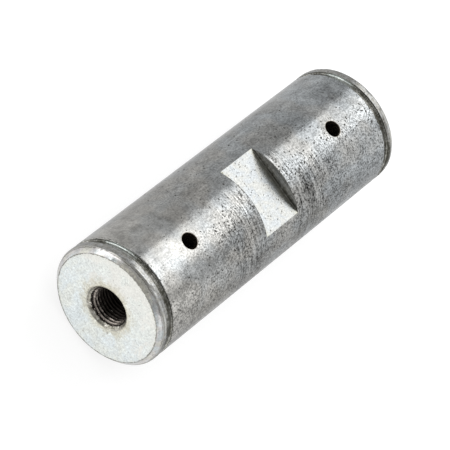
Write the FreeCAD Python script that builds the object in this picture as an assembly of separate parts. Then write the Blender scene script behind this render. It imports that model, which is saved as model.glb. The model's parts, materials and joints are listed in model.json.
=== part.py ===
import FreeCAD, Part
import math
import os

# One-piece pivot pin with a snap-ring groove at each end, a keeper notch across its middle and a
# grease way drilled into each end. Lengths are in millimetres and angles in degrees.
#
# Frame: the pin lies along X with the origin on its axis at mid-length, and the notch faces +Z.

PIN_DIAMETER = 30.0
PIN_LENGTH = 91.0
END_CHAMFER = 1.25

# Snap-ring groove for a 30 mm shaft.
GROOVE_DIAMETER = 28.6
GROOVE_WIDTH = 1.6
GROOVE_FROM_END = 2.8
GROOVE_EDGE_BREAK = 0.1

# Keeper notch, milled straight across the middle.
NOTCH_WIDTH = 12.0
NOTCH_DEPTH = 3.0

# Grease way: a 1/8-28 parallel pipe thread for the nipple, then a narrower drilling.
THREAD_MINOR_DIAMETER = 8.566
THREAD_DEPTH = 10.0
COUNTERSINK_DIAMETER = 11.1
COUNTERSINK_ANGLE = 90.0
GALLERY_DIAMETER = 5.0
DRILL_POINT_ANGLE = 118.0

# Cross drilling that feeds the bush on each journal.
GREASE_HOLE_DIAMETER = 4.0
GREASE_HOLE_FROM_END = 18.0
GREASE_HOLE_EDGE_BREAK = 0.15
# The cross drillings stand this far round from the notch, seen from the +X end towards -X.
GREASE_HOLE_ROLL = -5.0

PIN_RADIUS = PIN_DIAMETER / 2
HALF_LENGTH = PIN_LENGTH / 2
GROOVE_RADIUS = GROOVE_DIAMETER / 2
NOTCH_FLOOR = PIN_RADIUS - NOTCH_DEPTH
ALONG = FreeCAD.Vector(1, 0, 0)
ORIGIN = FreeCAD.Vector(0, 0, 0)


def turned(outline):
    """A solid of revolution about X from (x, radius) points that start and end on the axis."""
    points = [FreeCAD.Vector(x, 0, radius) for x, radius in outline]
    wire = Part.makePolygon(points + [points[0]])
    return Part.Face(wire).revolve(ORIGIN, ALONG, 360)


def end_outline():
    """(x, radius) points of the -X end, from the axis out to the full diameter past the groove."""
    end = -HALF_LENGTH
    near_wall = end + GROOVE_FROM_END
    far_wall = near_wall + GROOVE_WIDTH
    broken_radius = PIN_RADIUS - GROOVE_EDGE_BREAK
    return [
        (end, 0),
        (end, PIN_RADIUS - END_CHAMFER),
        (end + END_CHAMFER, PIN_RADIUS),
        (near_wall - GROOVE_EDGE_BREAK, PIN_RADIUS),
        (near_wall, broken_radius),
        (near_wall, GROOVE_RADIUS),
        (far_wall, GROOVE_RADIUS),
        (far_wall, broken_radius),
        (far_wall + GROOVE_EDGE_BREAK, PIN_RADIUS),
    ]


def blank():
    """The turned blank: both ends alike, and the seat at the notch a face apart from the journals."""
    left = end_outline() + [(-NOTCH_WIDTH / 2, PIN_RADIUS)]
    right = [(-x, radius) for x, radius in reversed(left)]
    return turned(left + right)


def keeper_notch():
    """The block that the cutter removes, wider than the pin so that it runs out at both sides."""
    overrun = PIN_RADIUS
    corner = FreeCAD.Vector(-NOTCH_WIDTH / 2, -overrun, NOTCH_FLOOR)
    return Part.makeBox(NOTCH_WIDTH, 2 * overrun, 2 * NOTCH_DEPTH, corner)


def grease_way():
    """The drilling in the -X end: countersink, tapped length, then a gallery with a drill point."""
    end = -HALF_LENGTH
    mouth_radius = COUNTERSINK_DIAMETER / 2
    thread_radius = THREAD_MINOR_DIAMETER / 2
    gallery_radius = GALLERY_DIAMETER / 2
    countersink_depth = (mouth_radius - thread_radius) / math.tan(math.radians(COUNTERSINK_ANGLE / 2))
    drill_slope = math.tan(math.radians(DRILL_POINT_ANGLE / 2))
    thread_end = end + THREAD_DEPTH
    thread_cone_end = thread_end + (thread_radius - gallery_radius) / drill_slope
    gallery_end = end + GREASE_HOLE_FROM_END + GREASE_HOLE_DIAMETER / 2
    drill_tip = gallery_end + gallery_radius / drill_slope
    return turned([
        (end, 0),
        (end, mouth_radius),
        (end + countersink_depth, thread_radius),
        (thread_end, thread_radius),
        (thread_cone_end, gallery_radius),
        (gallery_end, gallery_radius),
        (drill_tip, 0),
    ])


def cross_drilling(x):
    """A grease hole from the axis out through the surface at x, its mouth broken by a 45 degree cone."""
    hole_radius = GREASE_HOLE_DIAMETER / 2
    outward = FreeCAD.Vector(0, 0, 1)
    hole = Part.makeCylinder(hole_radius, 2 * PIN_RADIUS, FreeCAD.Vector(x, 0, 0), outward)
    cone_base = FreeCAD.Vector(x, 0, PIN_RADIUS - GREASE_HOLE_EDGE_BREAK)
    cone_height = 2.0
    mouth = Part.makeCone(hole_radius, hole_radius + cone_height, cone_height, cone_base, outward)
    drilling = hole.fuse(mouth)
    drilling.rotate(ORIGIN, ALONG, GREASE_HOLE_ROLL)
    return drilling


def pivot_pin():
    """The finished pin: both ends are drilled alike, so the far grease way is the near one turned."""
    near_way = grease_way()
    far_way = near_way.copy()
    far_way.rotate(ORIGIN, FreeCAD.Vector(0, 0, 1), 180)
    drilling_x = HALF_LENGTH - GREASE_HOLE_FROM_END
    cuts = [keeper_notch(), near_way, far_way, cross_drilling(-drilling_x), cross_drilling(drilling_x)]
    pin = blank()
    for cut in cuts:
        pin = pin.cut(cut)
    return pin.Solids[0]


os.makedirs("parts", exist_ok=True)
pin_shape = pivot_pin()
pin_shape.exportStep("parts/pivot_pin.step")
print("pivot_pin valid", pin_shape.isValid(), "volume mm3", round(pin_shape.Volume, 1))
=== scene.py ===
import json
import math

import bpy
import numpy as np
from mathutils import Matrix, Vector


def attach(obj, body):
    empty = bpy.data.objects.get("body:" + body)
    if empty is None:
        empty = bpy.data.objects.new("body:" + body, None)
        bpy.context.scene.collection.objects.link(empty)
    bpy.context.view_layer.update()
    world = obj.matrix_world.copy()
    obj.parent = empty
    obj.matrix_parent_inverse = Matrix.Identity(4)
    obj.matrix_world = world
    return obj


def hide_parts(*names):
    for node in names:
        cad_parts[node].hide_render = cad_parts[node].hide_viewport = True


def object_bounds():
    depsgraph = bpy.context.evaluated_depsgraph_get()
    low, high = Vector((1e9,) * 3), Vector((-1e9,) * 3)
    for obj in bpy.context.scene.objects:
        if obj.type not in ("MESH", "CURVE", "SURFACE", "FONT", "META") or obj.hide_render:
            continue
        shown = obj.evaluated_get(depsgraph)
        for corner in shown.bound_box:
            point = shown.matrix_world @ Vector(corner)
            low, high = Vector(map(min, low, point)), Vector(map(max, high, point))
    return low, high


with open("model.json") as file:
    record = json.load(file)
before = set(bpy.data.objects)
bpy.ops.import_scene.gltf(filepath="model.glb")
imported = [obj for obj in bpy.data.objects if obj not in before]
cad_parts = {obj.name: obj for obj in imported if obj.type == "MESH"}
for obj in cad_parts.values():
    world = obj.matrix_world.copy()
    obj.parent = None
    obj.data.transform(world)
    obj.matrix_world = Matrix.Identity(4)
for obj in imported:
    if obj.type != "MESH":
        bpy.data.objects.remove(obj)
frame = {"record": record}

# A one-piece steel pivot pin: ground, thinly plated and lightly corroded. The pin lies along X on a
# pale floor, with its keeper notch facing +Z. Mesh sizes are worked out in millimetres.

MM = 0.001
TINY = 1e-6
cad_low, cad_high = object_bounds()
mounts = {mount["name"]: mount for mount in frame["record"]["mounts"]}
openings = {opening["name"]: opening for opening in frame["record"]["physics"]["openings"]}

# Sizes that the frame gives.
HALF_LENGTH = (cad_high.x - cad_low.x) / 2 / MM
PIN_RADIUS = mounts["journal"]["dims"]["r_mm"]
GROOVE_RADIUS = mounts["snap_ring_groove_left"]["dims"]["r_mm"]
GROOVE_WIDTH = mounts["snap_ring_groove_left"]["dims"]["length_mm"]
GROOVE_CENTRE = -mounts["snap_ring_groove_left"]["pos_m"][0] / MM
THREAD_RADIUS = mounts["grease_thread_left"]["dims"]["r_mm"]
THREAD_LENGTH = mounts["grease_thread_left"]["dims"]["length_mm"]
THREAD_CENTRE = -mounts["grease_thread_left"]["pos_m"][0] / MM
HOLE_RADIUS = mounts["grease_hole_left"]["dims"]["r_mm"]
HOLE_X = -mounts["grease_hole_left"]["pos_m"][0] / MM
HOLE_AXIS = Vector(mounts["grease_hole_left"]["axis"])
NOTCH_FLOOR = mounts["keeper_seat"]["pos_m"][2] / MM
NOTCH_SIDE_CLEARANCE = 0.1
NOTCH_HALF_WIDTH = openings["keeper_notch"]["box_m"][1][0] / MM + NOTCH_SIDE_CLEARANCE

# Sizes of the turned and drilled shape, in millimetres.
END_CHAMFER = 1.25
MOUTH_RADIUS = 5.55
GALLERY_RADIUS = 2.5
DRILL_SLOPE = math.tan(math.radians(59))
DRILL_TIP_X = HOLE_X - HOLE_RADIUS - GALLERY_RADIUS / DRILL_SLOPE
FLAT_RADIUS = PIN_RADIUS - END_CHAMFER
GROOVE_INNER_X = GROOVE_CENTRE - GROOVE_WIDTH / 2
GROOVE_OUTER_X = GROOVE_CENTRE + GROOVE_WIDTH / 2
THREAD_PITCH = 0.907
THREAD_HEIGHT = 0.581

# How the thread is cut: the share of a turn by which it is turned on, how much steeper its flanks are
# than a plain zigzag's, and how many turns its run-out takes.
THREAD_START = 0.73
THREAD_STEEPNESS = 1.2
THREAD_RUN_OUT = 1.5

# Roundings, in millimetres.
EDGE_RADIUS = 0.10
LAND_CORNER_RADIUS = 0.5
RING_EDGE_RADIUS = 0.18
RING_FLOOR_RADIUS = 0.38
NOTCH_CORNER_RADIUS = 0.12
NOTCH_EDGE_RADIUS = 0.06
NOTCH_TIP_RADIUS = 0.01
HOLE_RIM_RADIUS = 0.14

# Mesh density: counts, and distances in millimetres.
COLUMNS = 216
ROWS_PER_PITCH = 8
GALLERY_ROWS = 12
NOTCH_ROWS = 26
NOTCH_FLOOR_ROWS = 10
DRILL_SEGMENTS = 72
ARC_STEPS = 3
NOTCH_ARC_STEPS = 3
RIM_ARC_STEPS = 4
BODY_STEP = 1.1
OUTLINE_STEP = 0.8
SUPPORT_GAP = 0.04
CONE_ROW_DEPTH = 0.2
BODY_ROW_GAP = 0.4
NOTCH_ROW_GAP = 0.3

# How much of a dent each edge takes, and how many dents there are round it.
FACE_EDGE_WEAR = 0.5
LAND_CORNER_WEAR = 1
RING_EDGE_WEAR = 0.7
NOTCH_EDGE_WEAR = 0.45
LEAD_WEAR = 0.4
DENTS_PER_EDGE = 26

# Material places on the mesh.
BODY, FACE, NOTCH, WALL, CHAMFER, LAND, GROOVE, BORE = range(8)


def column_angles():
    """Angles about +X from +Z towards -Y, evenly spaced, with extra ones at the notch's two ends."""
    notch_end = math.acos(NOTCH_FLOOR / PIN_RADIUS)
    even = list(np.linspace(-math.pi, math.pi, COLUMNS, endpoint=False))
    offsets = (-0.012, -0.006, 0.0, 0.006, 0.012)
    too_close = 0.004
    extra = [side * notch_end + offset for side in (-1, 1) for offset in offsets]
    kept = [a for a in even if min(abs(a - e) for e in extra) > too_close]
    return np.array(sorted(kept + extra))


def rounded(corners, step):
    """(x, r, wear) points along the line through (x, r, fillet, wear) corners.

    Each corner is filleted, with support points beside its arc, and only its arc takes its wear.
    """
    ends = []
    for index, (x, r, fillet, wear) in enumerate(corners):
        here = np.array([x, r])
        if fillet == 0:
            ends.append([(x, r, 0)])
            continue
        before = np.array(corners[index - 1][:2]) - here
        after = np.array(corners[index + 1][:2]) - here
        before /= np.linalg.norm(before)
        after /= np.linalg.norm(after)
        half = math.acos(max(-1, min(1, before @ after))) / 2
        back = fillet / math.tan(half)
        centre = here + (before + after) / np.linalg.norm(before + after) * fillet / math.sin(half)
        first, last = here + before * back, here + after * back
        start = math.atan2(*(first - centre)[::-1])
        turn = math.atan2(*(last - centre)[::-1]) - start
        turn = (turn + math.pi) % (2 * math.pi) - math.pi
        sweep = [start + turn * k / ARC_STEPS for k in range(ARC_STEPS + 1)]
        arc = [(*(centre + fillet * np.array([math.cos(a), math.sin(a)])), wear) for a in sweep]
        lead_in = (*(first + before * SUPPORT_GAP), wear * LEAD_WEAR)
        lead_out = (*(last + after * SUPPORT_GAP), wear * LEAD_WEAR)
        ends.append([lead_in] + arc + [lead_out])
    points = list(ends[0])
    for group in ends[1:]:
        start, stop = np.array(points[-1][:2]), np.array(group[0][:2])
        pieces = max(1, int(math.ceil(np.linalg.norm(stop - start) / step)))
        points += [(*(start + (stop - start) * k / pieces), 0) for k in range(1, pieces)]
        points += group
    return points


def end_outline():
    """(x, r, wear) points of the -X end, from the countersink's mouth to the body side of the groove."""
    end = -HALF_LENGTH
    wall_near = -GROOVE_OUTER_X
    wall_far = -GROOVE_INNER_X
    cone_radius = MOUTH_RADIUS - CONE_ROW_DEPTH
    return rounded([
        (end + MOUTH_RADIUS - cone_radius, cone_radius, 0, 0),
        (end, MOUTH_RADIUS, EDGE_RADIUS / 2, 0),
        (end, FLAT_RADIUS, EDGE_RADIUS, FACE_EDGE_WEAR),
        (end + END_CHAMFER, PIN_RADIUS, LAND_CORNER_RADIUS, LAND_CORNER_WEAR),
        (wall_near, PIN_RADIUS, EDGE_RADIUS, RING_EDGE_WEAR),
        (wall_near, GROOVE_RADIUS, RING_FLOOR_RADIUS, 0),
        (wall_far, GROOVE_RADIUS, RING_FLOOR_RADIUS, 0),
        (wall_far, PIN_RADIUS, RING_EDGE_RADIUS, RING_EDGE_WEAR),
        (wall_far + BODY_ROW_GAP, PIN_RADIUS, 0, 0),
    ], OUTLINE_STEP)


def bore_stations():
    """x places down the -X bore, from the drill point to just inside the countersink's mouth."""
    end = -HALF_LENGTH
    thread_end = -THREAD_CENTRE + THREAD_LENGTH / 2
    cone_end = thread_end + (THREAD_RADIUS - GALLERY_RADIUS) / DRILL_SLOPE
    gallery_end = -HOLE_X + HOLE_RADIUS
    step = THREAD_PITCH / ROWS_PER_PITCH
    threaded = list(np.arange(end + CONE_ROW_DEPTH + step, thread_end, step))
    gallery = list(np.linspace(cone_end, gallery_end, GALLERY_ROWS))
    return (threaded + [thread_end] + gallery)[::-1]


def bore_radius(x, angles):
    """The bore's wall at x, either end: a right-hand thread that runs out into a plain gallery."""
    depth = HALF_LENGTH - abs(x)
    thread_depth = HALF_LENGTH - THREAD_CENTRE + THREAD_LENGTH / 2
    past = depth - thread_depth
    if past > TINY:
        return np.full(len(angles), max(GALLERY_RADIUS, THREAD_RADIUS - past * DRILL_SLOPE))
    turn = (x / THREAD_PITCH - angles / (2 * math.pi) + THREAD_START) % 1
    ridge = np.clip(THREAD_STEEPNESS * (np.abs(2 * turn - 1) - 0.5) + 0.5, 0, 1)
    fade = min(1, max(0, -past / (THREAD_RUN_OUT * THREAD_PITCH)))
    thread = THREAD_RADIUS + THREAD_HEIGHT * ridge * fade
    return np.maximum(thread, MOUTH_RADIUS - depth)


def notch_radius(angles):
    """The outside of the pin where the notch is: its flat floor, or the round body beyond its ends."""
    cosine = np.maximum(np.cos(angles), 0.05)
    floor = np.minimum(NOTCH_FLOOR / cosine, 4 * PIN_RADIUS)
    return 0.5 * (floor + PIN_RADIUS - np.sqrt((floor - PIN_RADIUS) ** 2 + NOTCH_TIP_RADIUS ** 2))


def notch_step(angles):
    """Rows from the body down the notch's -X wall onto its floor: an arc, the wall and a fillet.

    The arc and the fillet take fixed shares of the rows. Where the wall fades out, at the notch's two
    ends, the rows spread evenly instead.
    """
    wall_x = -NOTCH_HALF_WIDTH
    edge_share, corner_share, arc_share = 0.12, 0.72, 0.16
    floors = notch_radius(angles)
    row_shares = np.linspace(0, 1, NOTCH_ROWS)
    xs = np.zeros((NOTCH_ROWS, len(angles)))
    rs = np.zeros((NOTCH_ROWS, len(angles)))
    for column, floor in enumerate(floors):
        size = min(1, (PIN_RADIUS - floor) / (2 * (NOTCH_EDGE_RADIUS + NOTCH_CORNER_RADIUS)))
        edge = max(NOTCH_EDGE_RADIUS * size, 1e-4)
        corner = max(NOTCH_CORNER_RADIUS * size, 1e-4)
        edge_arc = []
        corner_arc = []
        for k in range(NOTCH_ARC_STEPS + 1):
            a = math.pi / 2 * k / NOTCH_ARC_STEPS
            part = arc_share * k / NOTCH_ARC_STEPS
            edge_point = (wall_x - edge + edge * math.sin(a), PIN_RADIUS - edge + edge * math.cos(a))
            corner_point = (wall_x + corner - corner * math.cos(a), floor + corner - corner * math.sin(a))
            edge_arc.append((*edge_point, edge_share + part))
            corner_arc.append((*corner_point, corner_share + part))
        start = (wall_x - NOTCH_ROW_GAP, PIN_RADIUS, 0.0)
        stop = (wall_x + NOTCH_ROW_GAP, floor, 1.0)
        path = np.array([start] + edge_arc + corner_arc + [stop])
        gaps = np.linalg.norm(np.diff(path[:, :2], axis=0), axis=1)
        lengths = np.concatenate([[0], np.cumsum(gaps)])
        order = np.arange(len(path))
        places = size * path[:, 2] + (1 - size) * lengths / lengths[-1]
        places = np.maximum.accumulate(places + order * 1e-9)
        along = np.interp(row_shares, places, lengths)
        rising = lengths + order * 1e-12
        xs[:, column] = np.interp(along, rising, path[:, 0])
        rs[:, column] = np.interp(along, rising, path[:, 1])
    return xs, rs


def left_rows(angles):
    """All (x, r, wear) rows from the -X drill point to mid-length: x and r are arrays over the columns."""
    ones = np.ones(len(angles))
    rows = [(x * ones, bore_radius(x, angles), 0) for x in bore_stations()]
    outline = end_outline()
    rows += [(x * ones, r * ones, wear) for x, r, wear in outline]
    body_start = outline[-1][0]
    step_xs, step_rs = notch_step(angles)
    body_stop = step_xs[0, 0]
    count = int(round((body_stop - body_start) / BODY_STEP))
    body = np.linspace(body_start, body_stop, count + 1)[1:-1]
    rows += [(x * ones, PIN_RADIUS * ones, 0) for x in body]
    # These rows of the step lie on the arc of the notch's edge.
    edge_rows = range(3, 8)
    rows += [(x, r, NOTCH_EDGE_WEAR * (k in edge_rows)) for k, (x, r) in enumerate(zip(step_xs, step_rs))]
    floor = notch_radius(angles)
    floor_start = step_xs[-1, 0]
    rows += [(x * ones, floor, 0) for x in np.linspace(floor_start, 0, NOTCH_FLOOR_ROWS)[1:]]
    return rows


def mirrored(rows, angles):
    """The rows of the +X half, mid-length outwards: the same as the -X half but for the thread's hand."""
    bore_count = len(bore_stations())
    right = []
    for index, (xs, rs, wear) in enumerate(rows[:-1]):
        if index < bore_count:
            rs = bore_radius(-xs[0], angles)
        right.append((-xs, rs, wear))
    return right[::-1]


def dents(angles, draw, count):
    """How deep an edge is nicked at each column: a few knocks of mixed width and depth."""
    depth = np.zeros(len(angles))
    for _ in range(count):
        centre = draw.uniform(-math.pi, math.pi)
        width = draw.uniform(0.018, 0.05)
        deepest = draw.uniform(0.02, 0.09)
        away = (angles - centre + math.pi) % (2 * math.pi) - math.pi
        depth = np.maximum(depth, deepest * np.exp(-(away / width) ** 2))
    return depth


def places_of_faces(vertices, faces):
    """The material place of each face, from where its middle is and which way it looks."""
    corners = vertices[faces]
    middle = corners.mean(1)
    normal = np.cross(corners[:, 2] - corners[:, 0], corners[:, 3] - corners[:, 1])
    normal /= np.linalg.norm(normal, axis=1)[:, None] + 1e-12
    x = np.abs(middle[:, 0])
    r = np.hypot(middle[:, 1], middle[:, 2])
    slack = 0.02
    place = np.full(len(faces), BODY)
    in_notch = (x < NOTCH_HALF_WIDTH + slack / 2) & (middle[:, 2] > 0) & (r < PIN_RADIUS - slack)
    place[in_notch] = NOTCH
    looks_along_pin = np.abs(normal[:, 0]) > 0.5
    place[in_notch & looks_along_pin] = WALL
    place[x > GROOVE_OUTER_X] = LAND
    place[x > HALF_LENGTH - END_CHAMFER] = CHAMFER
    in_groove = (x > GROOVE_INNER_X - slack) & (x < GROOVE_OUTER_X + slack)
    below_edge = r < PIN_RADIUS - 0.8 * RING_EDGE_RADIUS
    place[in_groove & below_edge] = GROOVE
    place[(x > HALF_LENGTH - slack) & (r > MOUTH_RADIUS) & (r < FLAT_RADIUS + slack)] = FACE
    place[r < MOUTH_RADIUS - 2 * slack] = BORE
    return place


def pin_mesh():
    """The whole skin as one grid of rows and columns, closed at both drill points."""
    angles = column_angles()
    left = left_rows(angles)
    rows = left + mirrored(left, angles)
    xs = np.array([row[0] for row in rows])
    rs = np.array([row[1] for row in rows])
    draw = np.random.default_rng(7)
    knocks = np.zeros(len(angles))
    for index, (_, _, wear) in enumerate(rows):
        if wear and not rows[index - 1][2]:
            knocks = dents(angles, draw, DENTS_PER_EDGE)
        rs[index] -= wear * knocks
    grid = np.stack([xs, -rs * np.sin(angles), rs * np.cos(angles)], axis=2)
    row_count, column_count = xs.shape
    index = np.arange(row_count * column_count).reshape(row_count, column_count)
    turned = np.roll(index, -1, axis=1)
    quads = np.stack([index[:-1], turned[:-1], turned[1:], index[1:]], axis=2).reshape(-1, 4)
    vertices = grid.reshape(-1, 3)
    tips = np.array([[-DRILL_TIP_X, 0, 0], [DRILL_TIP_X, 0, 0]])
    first, last = len(vertices), len(vertices) + 1
    fans = [(first, turned[0, k], index[0, k]) for k in range(column_count)]
    fans += [(last, index[-1, k], turned[-1, k]) for k in range(column_count)]
    mesh = bpy.data.meshes.new("pivot_pin_body")
    everything = np.concatenate([vertices, tips]) * MM
    mesh.from_pydata(everything.tolist(), [], quads.tolist() + [tuple(map(int, f)) for f in fans])
    places = np.concatenate([places_of_faces(vertices, quads), np.full(len(fans), BORE)])
    mesh.polygons.foreach_set("material_index", places.astype(np.int32))
    mesh.update()
    return mesh


def drill_mesh(side):
    """The cutter for one cross drilling: a round rod from the axis outwards whose rim flares softly."""
    segments = DRILL_SEGMENTS
    rim = HOLE_RIM_RADIUS
    flare = [(0.0, HOLE_RADIUS), (PIN_RADIUS - 0.6, HOLE_RADIUS)]
    for k in range(RIM_ARC_STEPS + 1):
        a = math.pi / 2 * k / RIM_ARC_STEPS
        flare.append((PIN_RADIUS - rim + rim * math.sin(a), HOLE_RADIUS + rim * (1 - math.cos(a))))
    flare.append((PIN_RADIUS + 0.4, HOLE_RADIUS + 0.9))
    vertices = []
    across = HOLE_AXIS.cross(Vector((1, 0, 0)))
    for height, radius in flare:
        for k in range(segments):
            a = 2 * math.pi * k / segments
            along, aside = radius * math.cos(a), radius * math.sin(a)
            sag = PIN_RADIUS - math.sqrt(PIN_RADIUS ** 2 - aside ** 2) if height > 0 else 0
            point = HOLE_AXIS * (height - sag) + across * aside
            vertices.append(((side * HOLE_X + along) * MM, point.y * MM, point.z * MM))
    faces = []
    for ring in range(len(flare) - 1):
        for k in range(segments):
            a, b = ring * segments + k, ring * segments + (k + 1) % segments
            faces.append((a, b, b + segments, a + segments))
    faces.append(tuple(range(segments))[::-1])
    faces.append(tuple(range((len(flare) - 1) * segments, len(flare) * segments)))
    mesh = bpy.data.meshes.new("cross_drill")
    mesh.from_pydata(vertices, [], faces)
    mesh.polygons.foreach_set("material_index", np.full(len(faces), BORE, np.int32))
    mesh.update()
    return mesh


def new_object(name, data):
    """An object in the scene with this mesh, light or camera."""
    made = bpy.data.objects.new(name, data)
    bpy.context.scene.collection.objects.link(made)
    return made


def cut_with(target, cutter):
    """Boolean difference, applied, with the cutter removed."""
    modifier = target.modifiers.new("cut", "BOOLEAN")
    modifier.operation = "DIFFERENCE"
    modifier.solver = "EXACT"
    modifier.object = cutter
    graph = bpy.context.evaluated_depsgraph_get()
    result = bpy.data.meshes.new_from_object(target.evaluated_get(graph))
    target.modifiers.clear()
    target.data = result
    bpy.data.objects.remove(cutter)


# ---- materials -------------------------------------------------------------------------------------------
#
# Places along the pin are in millimetres from mid-length, with the near end at -X. Angles round it are in
# radians from +Z towards -Y. Noises and pits are given as features per millimetre. Colours are linear.

PER_MM = 1000


class Surface:
    """A metal material being built. Its textures read the object's own coordinates, in millimetres."""

    def __init__(self, name):
        self.material = bpy.data.materials.new(name)
        self.material.use_nodes = True
        self.tree = self.material.node_tree
        self.shader = self.tree.nodes["Principled BSDF"]
        self.shader.inputs["Metallic"].default_value = 1.0
        self.place = self.node("ShaderNodeTexCoord").outputs["Object"]

    def node(self, kind):
        return self.tree.nodes.new(kind)

    def feed(self, socket, value):
        """Links a socket into an input, or sets a plain value there."""
        if isinstance(value, bpy.types.NodeSocket):
            self.tree.links.new(value, socket)
        else:
            socket.default_value = value

    def math(self, operation, first, second=0.0):
        node = self.node("ShaderNodeMath")
        node.operation = operation
        self.feed(node.inputs[0], first)
        self.feed(node.inputs[1], second)
        return node.outputs[0]

    def coordinates(self, stretch=(1, 1, 1), shift=(0, 0, 0)):
        """Object coordinates in millimetres, scaled along each axis, so 0.05 draws streaks along it."""
        node = self.node("ShaderNodeMapping")
        node.inputs["Scale"].default_value = [PER_MM * k for k in stretch]
        node.inputs["Location"].default_value = shift
        self.feed(node.inputs["Vector"], self.place)
        return node.outputs[0]

    def noise(self, per_mm, detail, roughness, stretch=(1, 1, 1), shift=(0, 0, 0), warp=0.0):
        node = self.node("ShaderNodeTexNoise")
        self.feed(node.inputs["Vector"], self.coordinates(stretch, shift))
        node.inputs["Scale"].default_value = per_mm
        node.inputs["Detail"].default_value = detail
        node.inputs["Roughness"].default_value = roughness
        node.inputs["Distortion"].default_value = warp
        return node.outputs["Fac"]

    def remap(self, value, low, high, to_low=0.0, to_high=1.0, smooth=True):
        node = self.node("ShaderNodeMapRange")
        node.interpolation_type = "SMOOTHSTEP" if smooth else "LINEAR"
        self.feed(node.inputs["Value"], value)
        node.inputs["From Min"].default_value = low
        node.inputs["From Max"].default_value = high
        node.inputs["To Min"].default_value = to_low
        node.inputs["To Max"].default_value = to_high
        return node.outputs["Result"]

    def times(self, first, second):
        return self.math("MULTIPLY", first, second)

    def plus(self, *values):
        total = values[0]
        for value in values[1:]:
            total = self.math("ADD", total, value)
        return total

    def blend(self, factor, first, second):
        """The first colour where factor is 0 and the second where it is 1."""
        node = self.node("ShaderNodeMix")
        node.data_type = "RGBA"
        self.feed(node.inputs["Factor"], factor)
        self.feed(node.inputs["A"], first if isinstance(first, bpy.types.NodeSocket) else (*first, 1))
        self.feed(node.inputs["B"], second if isinstance(second, bpy.types.NodeSocket) else (*second, 1))
        return node.outputs["Result"]

    def shade(self, colour, amount):
        """The colour made lighter or darker by amount, which is 1 for no change."""
        node = self.node("ShaderNodeVectorMath")
        node.operation = "SCALE"
        self.feed(node.inputs[0], colour)
        self.feed(node.inputs["Scale"], amount)
        return node.outputs[0]

    def radius(self):
        """Distance from the pin's axis, in millimetres."""
        node = self.node("ShaderNodeVectorMath")
        node.operation = "LENGTH"
        self.feed(node.inputs[0], self.coordinates((0, 1, 1)))
        return node.outputs["Value"]

    def axes(self):
        """x, y and z in millimetres."""
        node = self.node("ShaderNodeSeparateXYZ")
        self.feed(node.inputs[0], self.coordinates())
        return node.outputs

    def turn(self):
        """The angle about the pin's axis from +Z towards -Y, in radians."""
        _, y, z = self.axes()
        return self.math("ARCTAN2", self.times(y, -1.0), z)

    def from_middle(self):
        """Distance along the pin from mid-length, either way, in millimetres."""
        return self.math("ABSOLUTE", self.axes()[0])

    def wave(self, value, amount):
        """A texture value spread evenly about zero: plus or minus amount over most of its range."""
        return self.remap(value, 0.3, 0.7, -amount, amount, smooth=False)

    def band(self, value, low, high, soft):
        """1 where the value is between low and high, fading out over soft."""
        rise = self.remap(value, low - soft, low + soft)
        fall = self.remap(value, high - soft, high + soft, 1.0, 0.0)
        return self.times(rise, fall)

    def smudge(self, x, turn, half_x, half_turn, ragged):
        """1 in the middle of a soft stain centred at x along the pin and turn round it, 0 outside it."""
        along = self.math("DIVIDE", self.math("SUBTRACT", self.axes()[0], x), half_x)
        around = self.math("DIVIDE", self.math("SUBTRACT", self.turn(), turn), half_turn)
        square = self.plus(self.times(along, along), self.times(around, around), ragged)
        return self.remap(square, 0.1, 1.3, 1.0, 0.0)

    def finish(self, colour, roughness, height):
        """Wires colour, roughness and a height in millimetres into the shader."""
        self.feed(self.shader.inputs["Base Color"], colour)
        self.feed(self.shader.inputs["Roughness"], roughness)
        bump = self.node("ShaderNodeBump")
        bump.inputs["Distance"].default_value = MM
        self.feed(bump.inputs["Height"], height)
        self.feed(self.shader.inputs["Normal"], bump.outputs[0])
        return self.material


def pits(surface, per_mm, share, shift):
    """1 inside small round pits and 0 between them. share is how many of a random grid's cells have one."""
    node = surface.node("ShaderNodeTexVoronoi")
    surface.feed(node.inputs["Vector"], surface.coordinates(shift=shift))
    node.inputs["Scale"].default_value = per_mm
    split = surface.node("ShaderNodeSeparateColor")
    surface.feed(split.inputs[0], node.outputs["Color"])
    ragged = surface.wave(surface.noise(2.5 * per_mm, 2, 0.5, shift=shift), 0.22)
    size = surface.remap(split.outputs["Green"], 0, 1, 0.13, 0.30)
    inside = surface.math("SUBTRACT", size, surface.plus(node.outputs["Distance"], ragged))
    chosen = surface.math("SUBTRACT", share, split.outputs["Red"])
    return surface.times(surface.remap(inside, -0.04, 0.06), surface.remap(chosen, 0.0, 0.02))


def scratches(surface, angle, per_mm, start, shift):
    """1 on a few thin straight scratches that lean by angle from the pin's length."""
    node = surface.node("ShaderNodeMapping")
    node.inputs["Rotation"].default_value = (0, 0, angle)
    node.inputs["Scale"].default_value = (PER_MM * 0.035, PER_MM, PER_MM * 0.3)
    node.inputs["Location"].default_value = shift
    surface.feed(node.inputs["Vector"], surface.place)
    lines = surface.node("ShaderNodeTexNoise")
    surface.feed(lines.inputs["Vector"], node.outputs[0])
    lines.inputs["Scale"].default_value = per_mm
    lines.inputs["Detail"].default_value = 1.0
    return surface.remap(lines.outputs["Fac"], start, start + 0.05)


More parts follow.
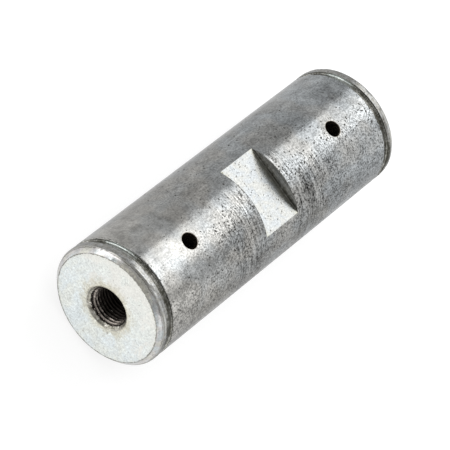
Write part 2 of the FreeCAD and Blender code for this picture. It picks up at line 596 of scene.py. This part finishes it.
def ground_steel():
    """The ground cylinder: dark steel under plating thinned by wear, with painted shade on one flank.

    It is smooth and cloudy on one side and turns grainy and pitted round to the other. Its ends are
    less dirty than its middle, a painted highlight widens its bright band at the near end, and fine grinding
    rings show beside the notch.
    """
    s = Surface("ground_steel")
    x, _, z = s.axes()
    angle = s.turn()
    middle = s.from_middle()
    clouds = s.noise(0.11, 4, 0.6, shift=(3, 8, 1), warp=0.6)
    patches = s.noise(0.45, 4, 0.65, shift=(11, 2, 7), warp=0.4)
    grain = s.noise(1.9, 2, 0.55, shift=(5, 5, 9))
    salt = s.remap(s.noise(2.3, 1.5, 0.5, shift=(15, 2, 9)), 0.38, 0.62, -1.0, 1.0)
    rings = s.noise(2.0, 3, 0.7, stretch=(1, 0.04, 0.04), shift=(0, 3, 1))
    streaks = s.noise(1.0, 3, 0.6, stretch=(0.06, 1, 1), shift=(4, 0, 2))
    turn = s.plus(angle, s.wave(clouds, 0.35))
    coarse = s.times(s.remap(turn, -0.45, 0.15), s.remap(turn, 2.0, 2.8, 1.0, 0.0))
    along = s.plus(x, s.wave(patches, 5.0))
    near_clean = s.remap(along, -33.0, -18.0, 1.0, 0.0)
    far_clean = s.remap(along, 22.0, 38.0)
    by_notch = s.band(s.plus(middle, s.wave(clouds, 4.0)), 6.0, 17.0, 2.5)
    ring_zone = s.times(by_notch, s.remap(turn, -0.45, -0.1))
    crowded = s.remap(s.noise(0.16, 3, 0.6, shift=(20, 1, 3)), 0.35, 0.6, 0.15, 0.52)
    share = s.times(s.plus(crowded, s.times(by_notch, 0.30)), s.remap(near_clean, 0, 1, 1.0, 0.35))
    share = s.times(share, s.remap(coarse, 0, 1, 0.25, 1.0))
    share = s.times(share, s.remap(along, -42.0, -30.0, 0.4, 1.0))
    by_groove = s.remap(s.plus(middle, s.wave(patches, 0.7)), GROOVE_INNER_X - 0.9, GROOVE_INNER_X - 0.2)
    share = s.plus(share, s.times(by_groove, s.remap(clouds, 0.36, 0.52, 0.0, 0.8)))
    pitted = s.math("MAXIMUM", pits(s, 1.15, share, (1, 9, 4)), pits(s, 1.75, share, (8, 3, 4)))
    lengthwise = scratches(s, 0.05, 1.0, 0.70, (4, 3, 2))
    slanting = scratches(s, 0.55, 0.8, 0.71, (9, 1, 5))
    scored = s.math("MAXIMUM", lengthwise, slanting)
    polished = s.times(s.remap(along, -28.0, -18.0, 1.0, 0.0), s.remap(turn, 0.30, 0.50, 1.0, 0.0))
    contrast = s.times(s.remap(coarse, 0, 1, 0.18, 0.37), s.remap(polished, 0, 1, 1.0, 0.55))
    cloudy = s.remap(middle, 8.0, 40.0, 0.14, 0.30)
    tone = s.plus(
        1.0,
        s.times(s.wave(clouds, 1.0), cloudy),
        s.wave(patches, 0.24),
        s.wave(streaks, 0.08),
        s.times(salt, contrast),
        s.times(s.wave(rings, 0.7), ring_zone),
        s.times(scored, 0.25))
    rim_clean = s.times(s.remap(along, -41.0, -34.0, 0.28, 0.0), s.remap(turn, 0.05, 0.5))
    # Painted highlight: a lighter band beside the bright band at the near end, on the -Y side, widening it.
    painted_highlight_wedge = s.times(s.band(angle, 0.13, 0.36, 0.06), s.remap(x, -36.0, -27.0, 0.40, 0.0))
    # Clean ends, plus the painted highlight at the near end.
    clean_and_painted_highlight = s.plus(1.0, s.times(near_clean, 0.20), s.times(far_clean, 0.06), rim_clean, painted_highlight_wedge)
    tone = s.times(tone, clean_and_painted_highlight)
    tone = s.times(tone, s.remap(s.times(by_notch, coarse), 0, 1, 1.0, 0.86))
    low_flank = s.remap(turn, 0.95, 1.30)
    # Painted shade: the -Y flank is darkened, most at the near end. The smears on it are real streaks.
    painted_flank_shade = s.remap(x, -32.0, -26.0, -0.30, -0.05)
    smears = s.noise(0.5, 4, 0.65, stretch=(0.35, 1, 1), shift=(7, 7, 2), warp=0.5)
    tone = s.times(tone, s.plus(1.0, s.times(low_flank, s.plus(painted_flank_shade, s.wave(smears, 0.45)))))
    drift = s.noise(0.15, 1, 0.5, shift=(2, 30, 5))
    away = s.remap(s.math("ABSOLUTE", angle), 0.1, 0.7, 0.1, 1.2)
    lengthways = s.remap(x, -40.0, 40.0, -0.5, 0.5, smooth=False)
    cooler = s.plus(s.remap(drift, 0.36, 0.64, 0.15, 0.85), s.times(away, lengthways))
    tint = s.blend(cooler, (0.246, 0.242, 0.230), (0.228, 0.240, 0.246))
    ragged = s.wave(patches, 0.8)
    stains = s.plus(
        s.times(s.smudge(-27.0, 1.05, 8.0, 0.22, ragged), 0.5),
        s.times(s.smudge(12.0, 1.02, 8.0, 0.20, ragged), 0.55),
        s.smudge(30.0, 2.60, 11.0, 0.40, ragged),
        s.smudge(-14.0, -2.50, 10.0, 0.45, ragged))
    colour = s.blend(s.times(stains, 0.7), tint, (0.135, 0.130, 0.112))
    colour = s.shade(colour, tone)
    colour = s.blend(s.times(pitted, 0.85), colour, (0.045, 0.042, 0.038))
    lip = s.band(s.plus(middle, s.wave(salt, 0.03)), NOTCH_HALF_WIDTH, NOTCH_HALF_WIDTH + 0.16, 0.03)
    lip = s.times(lip, s.remap(z, NOTCH_FLOOR + 0.4, NOTCH_FLOOR + 0.9, 0.0, 0.75))
    colour = s.blend(lip, colour, (0.07, 0.066, 0.055))
    s.shader.inputs["Specular Tint"].default_value = (0.74, 0.74, 0.74, 1)
    roughness = s.plus(
        0.21,
        s.wave(patches, 0.05),
        s.times(coarse, 0.05),
        s.times(pitted, 0.25))
    bumpy = s.times(s.remap(coarse, 0, 1, 0.5, 1.3), s.remap(polished, 0, 1, 1.0, 0.35))
    height = s.plus(
        s.times(s.times(grain, 0.030), bumpy),
        s.times(s.times(rings, ring_zone), 0.020),
        s.times(streaks, 0.008),
        s.times(patches, 0.03),
        s.times(scored, -0.012),
        s.times(pitted, -0.05))
    return s.finish(colour, roughness, height)


def zinc_face():
    """The end faces: pale satin zinc, bluish below and cream above, stained round the threaded hole."""
    s = Surface("zinc_face")
    clouds = s.noise(0.22, 4, 0.6, shift=(1, 4, 2), warp=0.5)
    mottle = s.noise(0.9, 4, 0.65, shift=(6, 1, 1))
    grain = s.noise(2.2, 2, 0.6, shift=(0, 8, 3))
    spots = pits(s, 1.2, s.remap(mottle, 0.45, 0.62, 0.05, 0.42), (2, 2, 8))
    pale = s.blend(s.remap(clouds, 0.38, 0.62), (0.775, 0.800, 0.765), (0.745, 0.795, 0.805))
    _, _, z = s.axes()
    upper = s.remap(s.plus(z, s.wave(clouds, 12.0)), 1.0, 12.0)
    pale = s.blend(s.times(upper, 0.85), pale, (0.815, 0.806, 0.758))
    radius = s.radius()
    ragged = s.plus(radius, s.wave(mottle, 1.1))
    stain = s.remap(ragged, MOUTH_RADIUS + 0.05, MOUTH_RADIUS + 2.65, 1.0, 0.0)
    colour = s.blend(s.times(stain, 0.6), pale, (0.62, 0.57, 0.43))
    rim = s.remap(ragged, FLAT_RADIUS - 1.55, FLAT_RADIUS + 0.85)
    colour = s.blend(s.times(rim, 0.35), colour, (0.70, 0.70, 0.62))
    speckle = s.times(s.plus(s.wave(mottle, 0.14), s.wave(grain, 0.18)), s.remap(upper, 0, 1, 1.0, 0.55))
    colour = s.shade(colour, s.plus(1.0, speckle))
    colour = s.blend(s.times(spots, 0.5), colour, (0.25, 0.23, 0.20))
    mouth = s.remap(s.plus(radius, s.wave(mottle, 0.25)), MOUTH_RADIUS + 0.03, MOUTH_RADIUS + 0.3, 0.55, 0.0)
    colour = s.blend(mouth, colour, (0.28, 0.26, 0.20))
    ragged = s.plus(radius, s.wave(grain, 0.16), s.wave(mottle, 0.16))
    edge = s.remap(ragged, FLAT_RADIUS - 0.33, FLAT_RADIUS - 0.13)
    colour = s.blend(s.times(edge, 0.82), colour, (0.14, 0.13, 0.11))
    roughness = s.plus(0.42, s.wave(mottle, 0.08))
    height = s.plus(s.times(grain, 0.016), s.times(mottle, 0.02), s.times(spots, -0.02))
    return s.finish(colour, roughness, height)


def notch_floor():
    """The milled seat: bright, pale blue in patches, finely pitted, stained along the walls, and darkest at
    their feet with dirt and painted shade.
    """
    s = Surface("notch_floor")
    clouds = s.noise(0.35, 4, 0.6, shift=(5, 3, 2), warp=0.4)
    mottle = s.noise(1.3, 4, 0.65, shift=(2, 6, 1))
    grain = s.noise(2.6, 2, 0.6, shift=(9, 8, 3))
    lines = s.noise(2.5, 2, 0.6, stretch=(1, 0.04, 0.04), shift=(5, 0, 1))
    middle = s.from_middle()
    foot = s.remap(s.plus(middle, s.wave(mottle, 0.8)), NOTCH_HALF_WIDTH - 1.8, NOTCH_HALF_WIDTH + 0.2)
    spots = pits(s, 1.6, s.plus(s.remap(mottle, 0.4, 0.6, 0.12, 0.5), s.times(foot, 0.5)), (4, 2, 8))
    colour = s.blend(s.remap(clouds, 0.4, 0.6), (0.325, 0.328, 0.315), (0.310, 0.325, 0.332))
    tone = s.plus(1.0, s.wave(mottle, 0.2), s.wave(grain, 0.22), s.wave(lines, 0.06))
    colour = s.shade(colour, tone)
    colour = s.blend(s.times(spots, 0.75), colour, (0.09, 0.085, 0.075))
    colour = s.blend(s.times(foot, 0.45), colour, (0.29, 0.275, 0.185))
    # Dirt and painted shade: darkest in the concave corners where the floor meets the walls.
    corner = s.remap(s.plus(middle, s.wave(mottle, 0.4)), NOTCH_HALF_WIDTH - 0.35, NOTCH_HALF_WIDTH + 0.35)
    colour = s.blend(s.times(corner, 0.75), colour, (0.085, 0.082, 0.070))
    roughness = s.plus(0.36, s.wave(mottle, 0.06))
    height = s.plus(
        s.times(grain, 0.014),
        s.times(mottle, 0.02),
        s.times(lines, 0.006),
        s.times(spots, -0.03))
    return s.finish(colour, roughness, height)


def notch_wall():
    """The notch's side walls: scored by the cutter along the wall, and darker towards the floor with dirt
    and painted shade.
    """
    s = Surface("notch_wall")
    _, _, z = s.axes()
    lines = s.noise(2.2, 3, 0.6, stretch=(1, 0.06, 1), shift=(1, 0, 4))
    mottle = s.noise(1.2, 4, 0.6, shift=(3, 3, 3))
    colour = s.blend(s.remap(mottle, 0.4, 0.6), (0.50, 0.495, 0.465), (0.60, 0.598, 0.58))
    colour = s.shade(colour, s.plus(1.0, s.wave(lines, 0.45)))
    # Dirt and painted shade: the walls darken down towards the floor.
    grime_and_painted_shade = s.remap(s.plus(z, s.wave(mottle, 0.5)), NOTCH_FLOOR - 0.1, NOTCH_FLOOR + 1.6, 0.85, 0.0)
    colour = s.blend(grime_and_painted_shade, colour, (0.06, 0.058, 0.05))
    roughness = s.plus(0.33, s.wave(mottle, 0.07))
    height = s.plus(s.times(lines, 0.03), s.times(mottle, 0.02))
    return s.finish(colour, roughness, height)


def chamfer_metal():
    """The end chamfers: bright plating with a faint yellow, pink and blue film and dirty corners, and a
    painted yellowish highlight across the top of their inner part.
    """
    s = Surface("chamfer_metal")
    drift = s.noise(0.22, 3, 0.6, shift=(8, 1, 5), warp=0.5)
    mottle = s.noise(1.2, 4, 0.65, shift=(7, 2, 2))
    grain = s.noise(2.4, 2, 0.6, shift=(4, 4, 4))
    spots = pits(s, 1.5, s.remap(mottle, 0.45, 0.65, 0.03, 0.30), (3, 7, 1))
    warm = s.blend(s.remap(drift, 0.40, 0.5), (0.53, 0.525, 0.48), (0.51, 0.495, 0.49))
    colour = s.blend(s.remap(drift, 0.48, 0.6), warm, (0.48, 0.51, 0.515))
    radius = s.radius()
    inner = s.remap(radius, FLAT_RADIUS + 0.25, FLAT_RADIUS + 0.75, 0.75, 0.1)
    # Painted highlight: a yellowish, lighter patch on the inner part of the chamfer, across its top.
    painted_yellow_highlight = s.times(s.band(s.turn(), -0.52, 0.32, 0.14), inner)
    painted_yellow_highlight = s.times(painted_yellow_highlight, s.remap(mottle, 0.38, 0.6, 0.35, 1.0))
    colour = s.blend(painted_yellow_highlight, colour, (0.76, 0.735, 0.62))
    bands = s.noise(1.6, 2, 0.5, stretch=(1, 0.10, 0.10), shift=(6, 2, 4))
    colour = s.shade(colour, s.plus(1.0, s.wave(mottle, 0.16), s.wave(grain, 0.12), s.wave(bands, 0.2)))
    colour = s.blend(s.times(spots, 0.6), colour, (0.10, 0.095, 0.085))
    ragged = s.plus(radius, s.wave(grain, 0.10))
    colour = s.blend(s.remap(ragged, PIN_RADIUS - 0.32, PIN_RADIUS - 0.16), colour, (0.33, 0.325, 0.305))
    line = s.band(ragged, PIN_RADIUS - 0.38, PIN_RADIUS - 0.26, 0.05)
    line = s.times(line, s.remap(drift, 0.42, 0.58, 0.85, 0.25))
    colour = s.blend(line, colour, (0.05, 0.047, 0.04))
    roughness = s.plus(0.22, s.wave(mottle, 0.05))
    height = s.plus(s.times(grain, 0.008), s.times(mottle, 0.01), s.times(spots, -0.02))
    return s.finish(colour, roughness, height)


def land_metal():
    """The narrow lands outside the grooves: like the ground body, with scuff marks, painted highlight and
    painted shade on the -Y side, and painted shade across the top.
    """
    s = Surface("land_metal")
    mottle = s.noise(1.0, 4, 0.65, shift=(7, 12, 2), warp=0.3)
    grain = s.noise(2.2, 2, 0.6, shift=(14, 4, 4))
    rings = s.noise(2.2, 3, 0.7, stretch=(1, 0.04, 0.04), shift=(0, 13, 1))
    spots = pits(s, 1.5, s.remap(mottle, 0.4, 0.6, 0.05, 0.4), (3, 17, 1))
    tint = s.blend(s.remap(mottle, 0.4, 0.6), (0.262, 0.258, 0.240), (0.250, 0.254, 0.252))
    angle = s.turn()
    middle = s.from_middle()
    # Painted shade: the -Y side of the land beside the groove is darkened nearly to black.
    painted_groove_side_shade = s.band(s.plus(angle, s.wave(mottle, 0.25)), 0.72, 1.35, 0.12)
    ragged = s.plus(middle, s.wave(mottle, 0.2))
    near_groove = s.remap(ragged, GROOVE_OUTER_X + 0.65, GROOVE_OUTER_X + 1.15, 1.0, 0.0)
    colour = s.blend(s.times(s.times(painted_groove_side_shade, near_groove), 0.92), tint, (0.035, 0.033, 0.022))
    # Scuffs and painted highlight lighten the -Y side and widen the highlight. Painted shade dims the top,
    # where the highlight peaks.
    scuff_and_painted_highlight = s.remap(middle, GROOVE_OUTER_X + 0.8, GROOVE_OUTER_X + 1.2, 0.0, 0.65)
    scuff_and_painted_highlight = s.times(scuff_and_painted_highlight, s.band(angle, 0.12, 0.95, 0.10))
    painted_top_shade = s.times(s.band(angle, -0.16, 0.06, 0.05), -0.12)
    tone = s.plus(0.95, s.wave(mottle, 0.32), s.wave(grain, 0.2), s.wave(rings, 0.25), scuff_and_painted_highlight, painted_top_shade)
    colour = s.shade(colour, tone)
    colour = s.blend(s.times(spots, 0.75), colour, (0.07, 0.065, 0.06))
    s.shader.inputs["Specular Tint"].default_value = (0.72, 0.72, 0.72, 1)
    roughness = s.plus(0.26, s.wave(mottle, 0.06))
    height = s.plus(
        s.times(grain, 0.02),
        s.times(mottle, 0.03),
        s.times(spots, -0.02),
        s.times(rings, 0.012))
    return s.finish(colour, roughness, height)


def groove_metal():
    """The snap-ring grooves: unplated, dull and dirty, scored by the grooving tool, with a floor darkened by
    dirt and painted shade and a painted bluish-white highlight on one side.
    """
    s = Surface("groove_metal")
    mottle = s.noise(0.8, 4, 0.65, shift=(1, 1, 6))
    grain = s.noise(2.4, 2, 0.6, shift=(2, 4, 4))
    rings = s.noise(3.0, 2, 0.6, stretch=(1, 0.05, 0.05), shift=(2, 0, 4))
    # Dirt and painted shade: the floor is much darker than the walls.
    floor = s.blend(s.remap(mottle, 0.4, 0.62), (0.075, 0.073, 0.060), (0.160, 0.158, 0.145))
    wall = s.blend(s.remap(mottle, 0.4, 0.62), (0.34, 0.336, 0.300), (0.52, 0.522, 0.50))
    radius = s.radius()
    ragged = s.plus(radius, s.wave(grain, 0.08))
    up_wall = s.remap(ragged, GROOVE_RADIUS + 0.1, GROOVE_RADIUS + 0.32)
    colour = s.blend(up_wall, floor, wall)
    # Painted highlight: a bluish-white band on the floor's corner, across the +Y upper side.
    painted_groove_highlight = s.band(s.plus(s.turn(), s.wave(mottle, 0.15)), -0.98, -0.46, 0.08)
    corner = s.remap(radius, GROOVE_RADIUS + 0.01, GROOVE_RADIUS + 0.07, 0.25, 0.9)
    colour = s.blend(s.times(painted_groove_highlight, corner), colour, (0.62, 0.66, 0.64))
    colour = s.shade(colour, s.plus(1.0, s.wave(grain, 0.3), s.wave(rings, 0.4)))
    roughness = s.plus(0.36, s.wave(mottle, -0.08))
    height = s.plus(s.times(grain, 0.03), s.times(mottle, 0.03), s.times(rings, 0.02))
    return s.finish(colour, roughness, height)


def bore_metal():
    """Threads and drillings: dark inside with old grease and painted shade that deepens down the bore,
    grey-brown on the countersink.
    """
    s = Surface("bore_metal")
    mottle = s.noise(0.9, 4, 0.65, shift=(6, 1, 6))
    grain = s.noise(2.3, 2, 0.6, shift=(2, 9, 4))
    middle = s.from_middle()
    depth = s.math("SUBTRACT", HALF_LENGTH, s.plus(middle, s.wave(mottle, 0.6)))
    marks = s.noise(2.6, 2, 0.6, stretch=(1, 0.08, 0.08), shift=(3, 0, 2))
    nicks = s.remap(s.noise(1.7, 3, 0.6, shift=(3, 3, 8)), 0.60, 0.66)
    bare = s.blend(s.remap(mottle, 0.4, 0.62), (0.25, 0.24, 0.20), (0.50, 0.48, 0.425))
    specks = pits(s, 1.9, s.remap(mottle, 0.4, 0.6, 0.1, 0.45), (5, 5, 2))
    bare = s.shade(bare, s.plus(1.0, s.wave(marks, 0.35)))
    bare = s.blend(s.times(nicks, 0.8), bare, (0.80, 0.78, 0.74))
    bare = s.blend(s.times(specks, 0.7), bare, (0.10, 0.07, 0.055))
    radius = s.radius()
    ragged = s.plus(radius, s.wave(grain, 0.1))
    # Grease and painted shade: the thread roots are near black, and the crests fade towards near black with
    # depth down the bore.
    crest = s.remap(ragged, THREAD_RADIUS + 0.137, THREAD_RADIUS + 0.457, 1.0, 0.0)
    shallow = s.times(s.remap(depth, 1.2, 3.2, 1.0, 0.06), s.remap(depth, 4.5, 7.0, 1.0, 0.3))
    crest = s.times(s.times(crest, shallow), s.remap(mottle, 0.38, 0.6, 0.35, 1.0))
    grease_and_painted_shade = s.blend(crest, (0.010, 0.008, 0.007), (0.42, 0.375, 0.335))
    grease_and_painted_shade = s.blend(s.times(s.times(nicks, shallow), 0.7), grease_and_painted_shade, (0.80, 0.70, 0.64))
    ragged = s.plus(radius, s.wave(mottle, 0.12))
    inside = s.remap(ragged, THREAD_RADIUS + 0.557, THREAD_RADIUS + 0.737, 1.0, 0.0)
    colour = s.blend(inside, bare, grease_and_painted_shade)
    greasy = s.blend(s.remap(mottle, 0.4, 0.6), (0.22, 0.195, 0.165), (0.42, 0.38, 0.33))
    inboard = s.remap(middle, HALF_LENGTH - 6.0, HALF_LENGTH - 5.0, 1.0, 0.0)
    in_cross_hole = s.times(s.remap(radius, 8.0, 9.0), inboard)
    colour = s.blend(in_cross_hole, colour, greasy)
    colour = s.shade(colour, s.plus(1.0, s.wave(grain, 0.4)))
    roughness = s.plus(0.32, s.wave(mottle, -0.08))
    height = s.plus(s.times(grain, 0.03), s.times(mottle, 0.05), s.times(marks, 0.03))
    return s.finish(colour, roughness, height)


materials = [
    ground_steel(),
    zinc_face(),
    notch_floor(),
    notch_wall(),
    chamfer_metal(),
    land_metal(),
    groove_metal(),
    bore_metal(),
]

pin = new_object("pivot_pin_body", pin_mesh())
cutters = [new_object("cross_drill", drill_mesh(side)) for side in (-1, 1)]
for target in [pin] + cutters:
    for material in materials:
        target.data.materials.append(material)
for cutter in cutters:
    cut_with(pin, cutter)
pin.data.shade_smooth()
pin.data.set_sharp_from_angle(angle=math.radians(40))
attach(pin, "root")
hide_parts("pivot_pin")

# ---- stage -----------------------------------------------------------------------------------------------

def studio_world():
    """Even white surroundings, dimmer on the side that the pin's near end faces."""
    white = (1.0, 1.0, 1.0, 1)
    world = bpy.data.worlds.new("studio")
    bpy.context.scene.world = world
    world.use_nodes = True
    tree = world.node_tree
    direction = tree.nodes.new("ShaderNodeTexCoord").outputs["Generated"]
    split = tree.nodes.new("ShaderNodeSeparateXYZ")
    tree.links.new(direction, split.inputs[0])
    level = tree.nodes.new("ShaderNodeMapRange")
    level.inputs["From Min"].default_value = -0.5
    level.inputs["From Max"].default_value = 0.2
    level.inputs["To Min"].default_value = 0.5
    level.inputs["To Max"].default_value = 0.93
    tree.links.new(split.outputs["X"], level.inputs["Value"])
    tree.links.new(level.outputs["Result"], tree.nodes["Background"].inputs["Strength"])
    tree.nodes["Background"].inputs["Color"].default_value = white


def floor_plane():
    """A pale floor that glows a little, so that it stays near white round the pin."""
    reach = 3.0
    corners = [(-reach, -reach), (reach, -reach), (reach, reach), (-reach, reach)]
    mesh = bpy.data.meshes.new("floor")
    mesh.from_pydata([(x, y, cad_low.z) for x, y in corners], [], [(0, 1, 2, 3)])
    floor = new_object("floor", mesh)
    material = bpy.data.materials.new("floor")
    material.use_nodes = True
    shader = material.node_tree.nodes["Principled BSDF"]
    shader.inputs["Base Color"].default_value = (0.3, 0.3, 0.3, 1)
    shader.inputs["Roughness"].default_value = 0.9
    shader.inputs["Emission Color"].default_value = (1, 1, 1, 1)
    shader.inputs["Emission Strength"].default_value = 0.78
    mesh.materials.append(material)


def add_camera():
    """A long lens that looks down on the pin's -X end, rolled so that the pin runs up to the right."""
    azimuth, elevation, roll = map(math.radians, (175.85, 48.69, -57.26))
    distance = 0.6828
    aim = (cad_low + cad_high) / 2 + Vector((-2.1, -1.8, -1.6)) * MM
    flat = math.cos(elevation)
    back = Vector((flat * math.cos(azimuth), flat * math.sin(azimuth), math.sin(elevation)))
    level = (-back).cross(Vector((0, 0, 1))).normalized()
    upright = level.cross(-back)
    up = upright * math.cos(roll) + level * math.sin(roll)
    right = (-back).cross(up)
    data = bpy.data.cameras.new("camera")
    data.lens = 239.6
    data.sensor_width = 36
    data.clip_start, data.clip_end = 0.01, 100
    camera = new_object("camera", data)
    turn = Matrix((right, up, back)).transposed().to_4x4()
    camera.matrix_world = Matrix.Translation(aim + back * distance) @ turn
    bpy.context.scene.camera = camera


def softbox(name, centre, size, radiance):
    """A plain panel of even brightness that looks at the pin. Its first size runs level."""
    data = bpy.data.lights.new(name, "AREA")
    data.shape = "RECTANGLE"
    data.size, data.size_y = size
    data.energy = radiance * math.pi * size[0] * size[1]
    light = new_object(name, data)
    light.location = centre
    light.rotation_euler = (-Vector(centre)).to_track_quat("-Z", "Y").to_euler()
    light.visible_camera = False


studio_world()
floor_plane()
add_camera()
softbox("back_softbox", (0.46, 0.084, 0.52), (0.50, 0.5), 2.0)
softbox("back_edge", (0.46, -0.25, 0.52), (0.16, 0.5), 0.8)
softbox("near_glow", (0.40, 0.03, 0.60), (0.40, 0.2), 1.0)
softbox("side_panel", (0.50, -0.52, 0.19), (0.42, 0.36), 0.5)
softbox("chamfer_strip", (-0.158, 0.19, 0.055), (0.08, 0.15), 1.9)
softbox("low_strip", (-0.35, -0.48, 0.13), (0.22, 0.25), 0.8)
bpy.context.scene.view_settings.view_transform = "Standard"
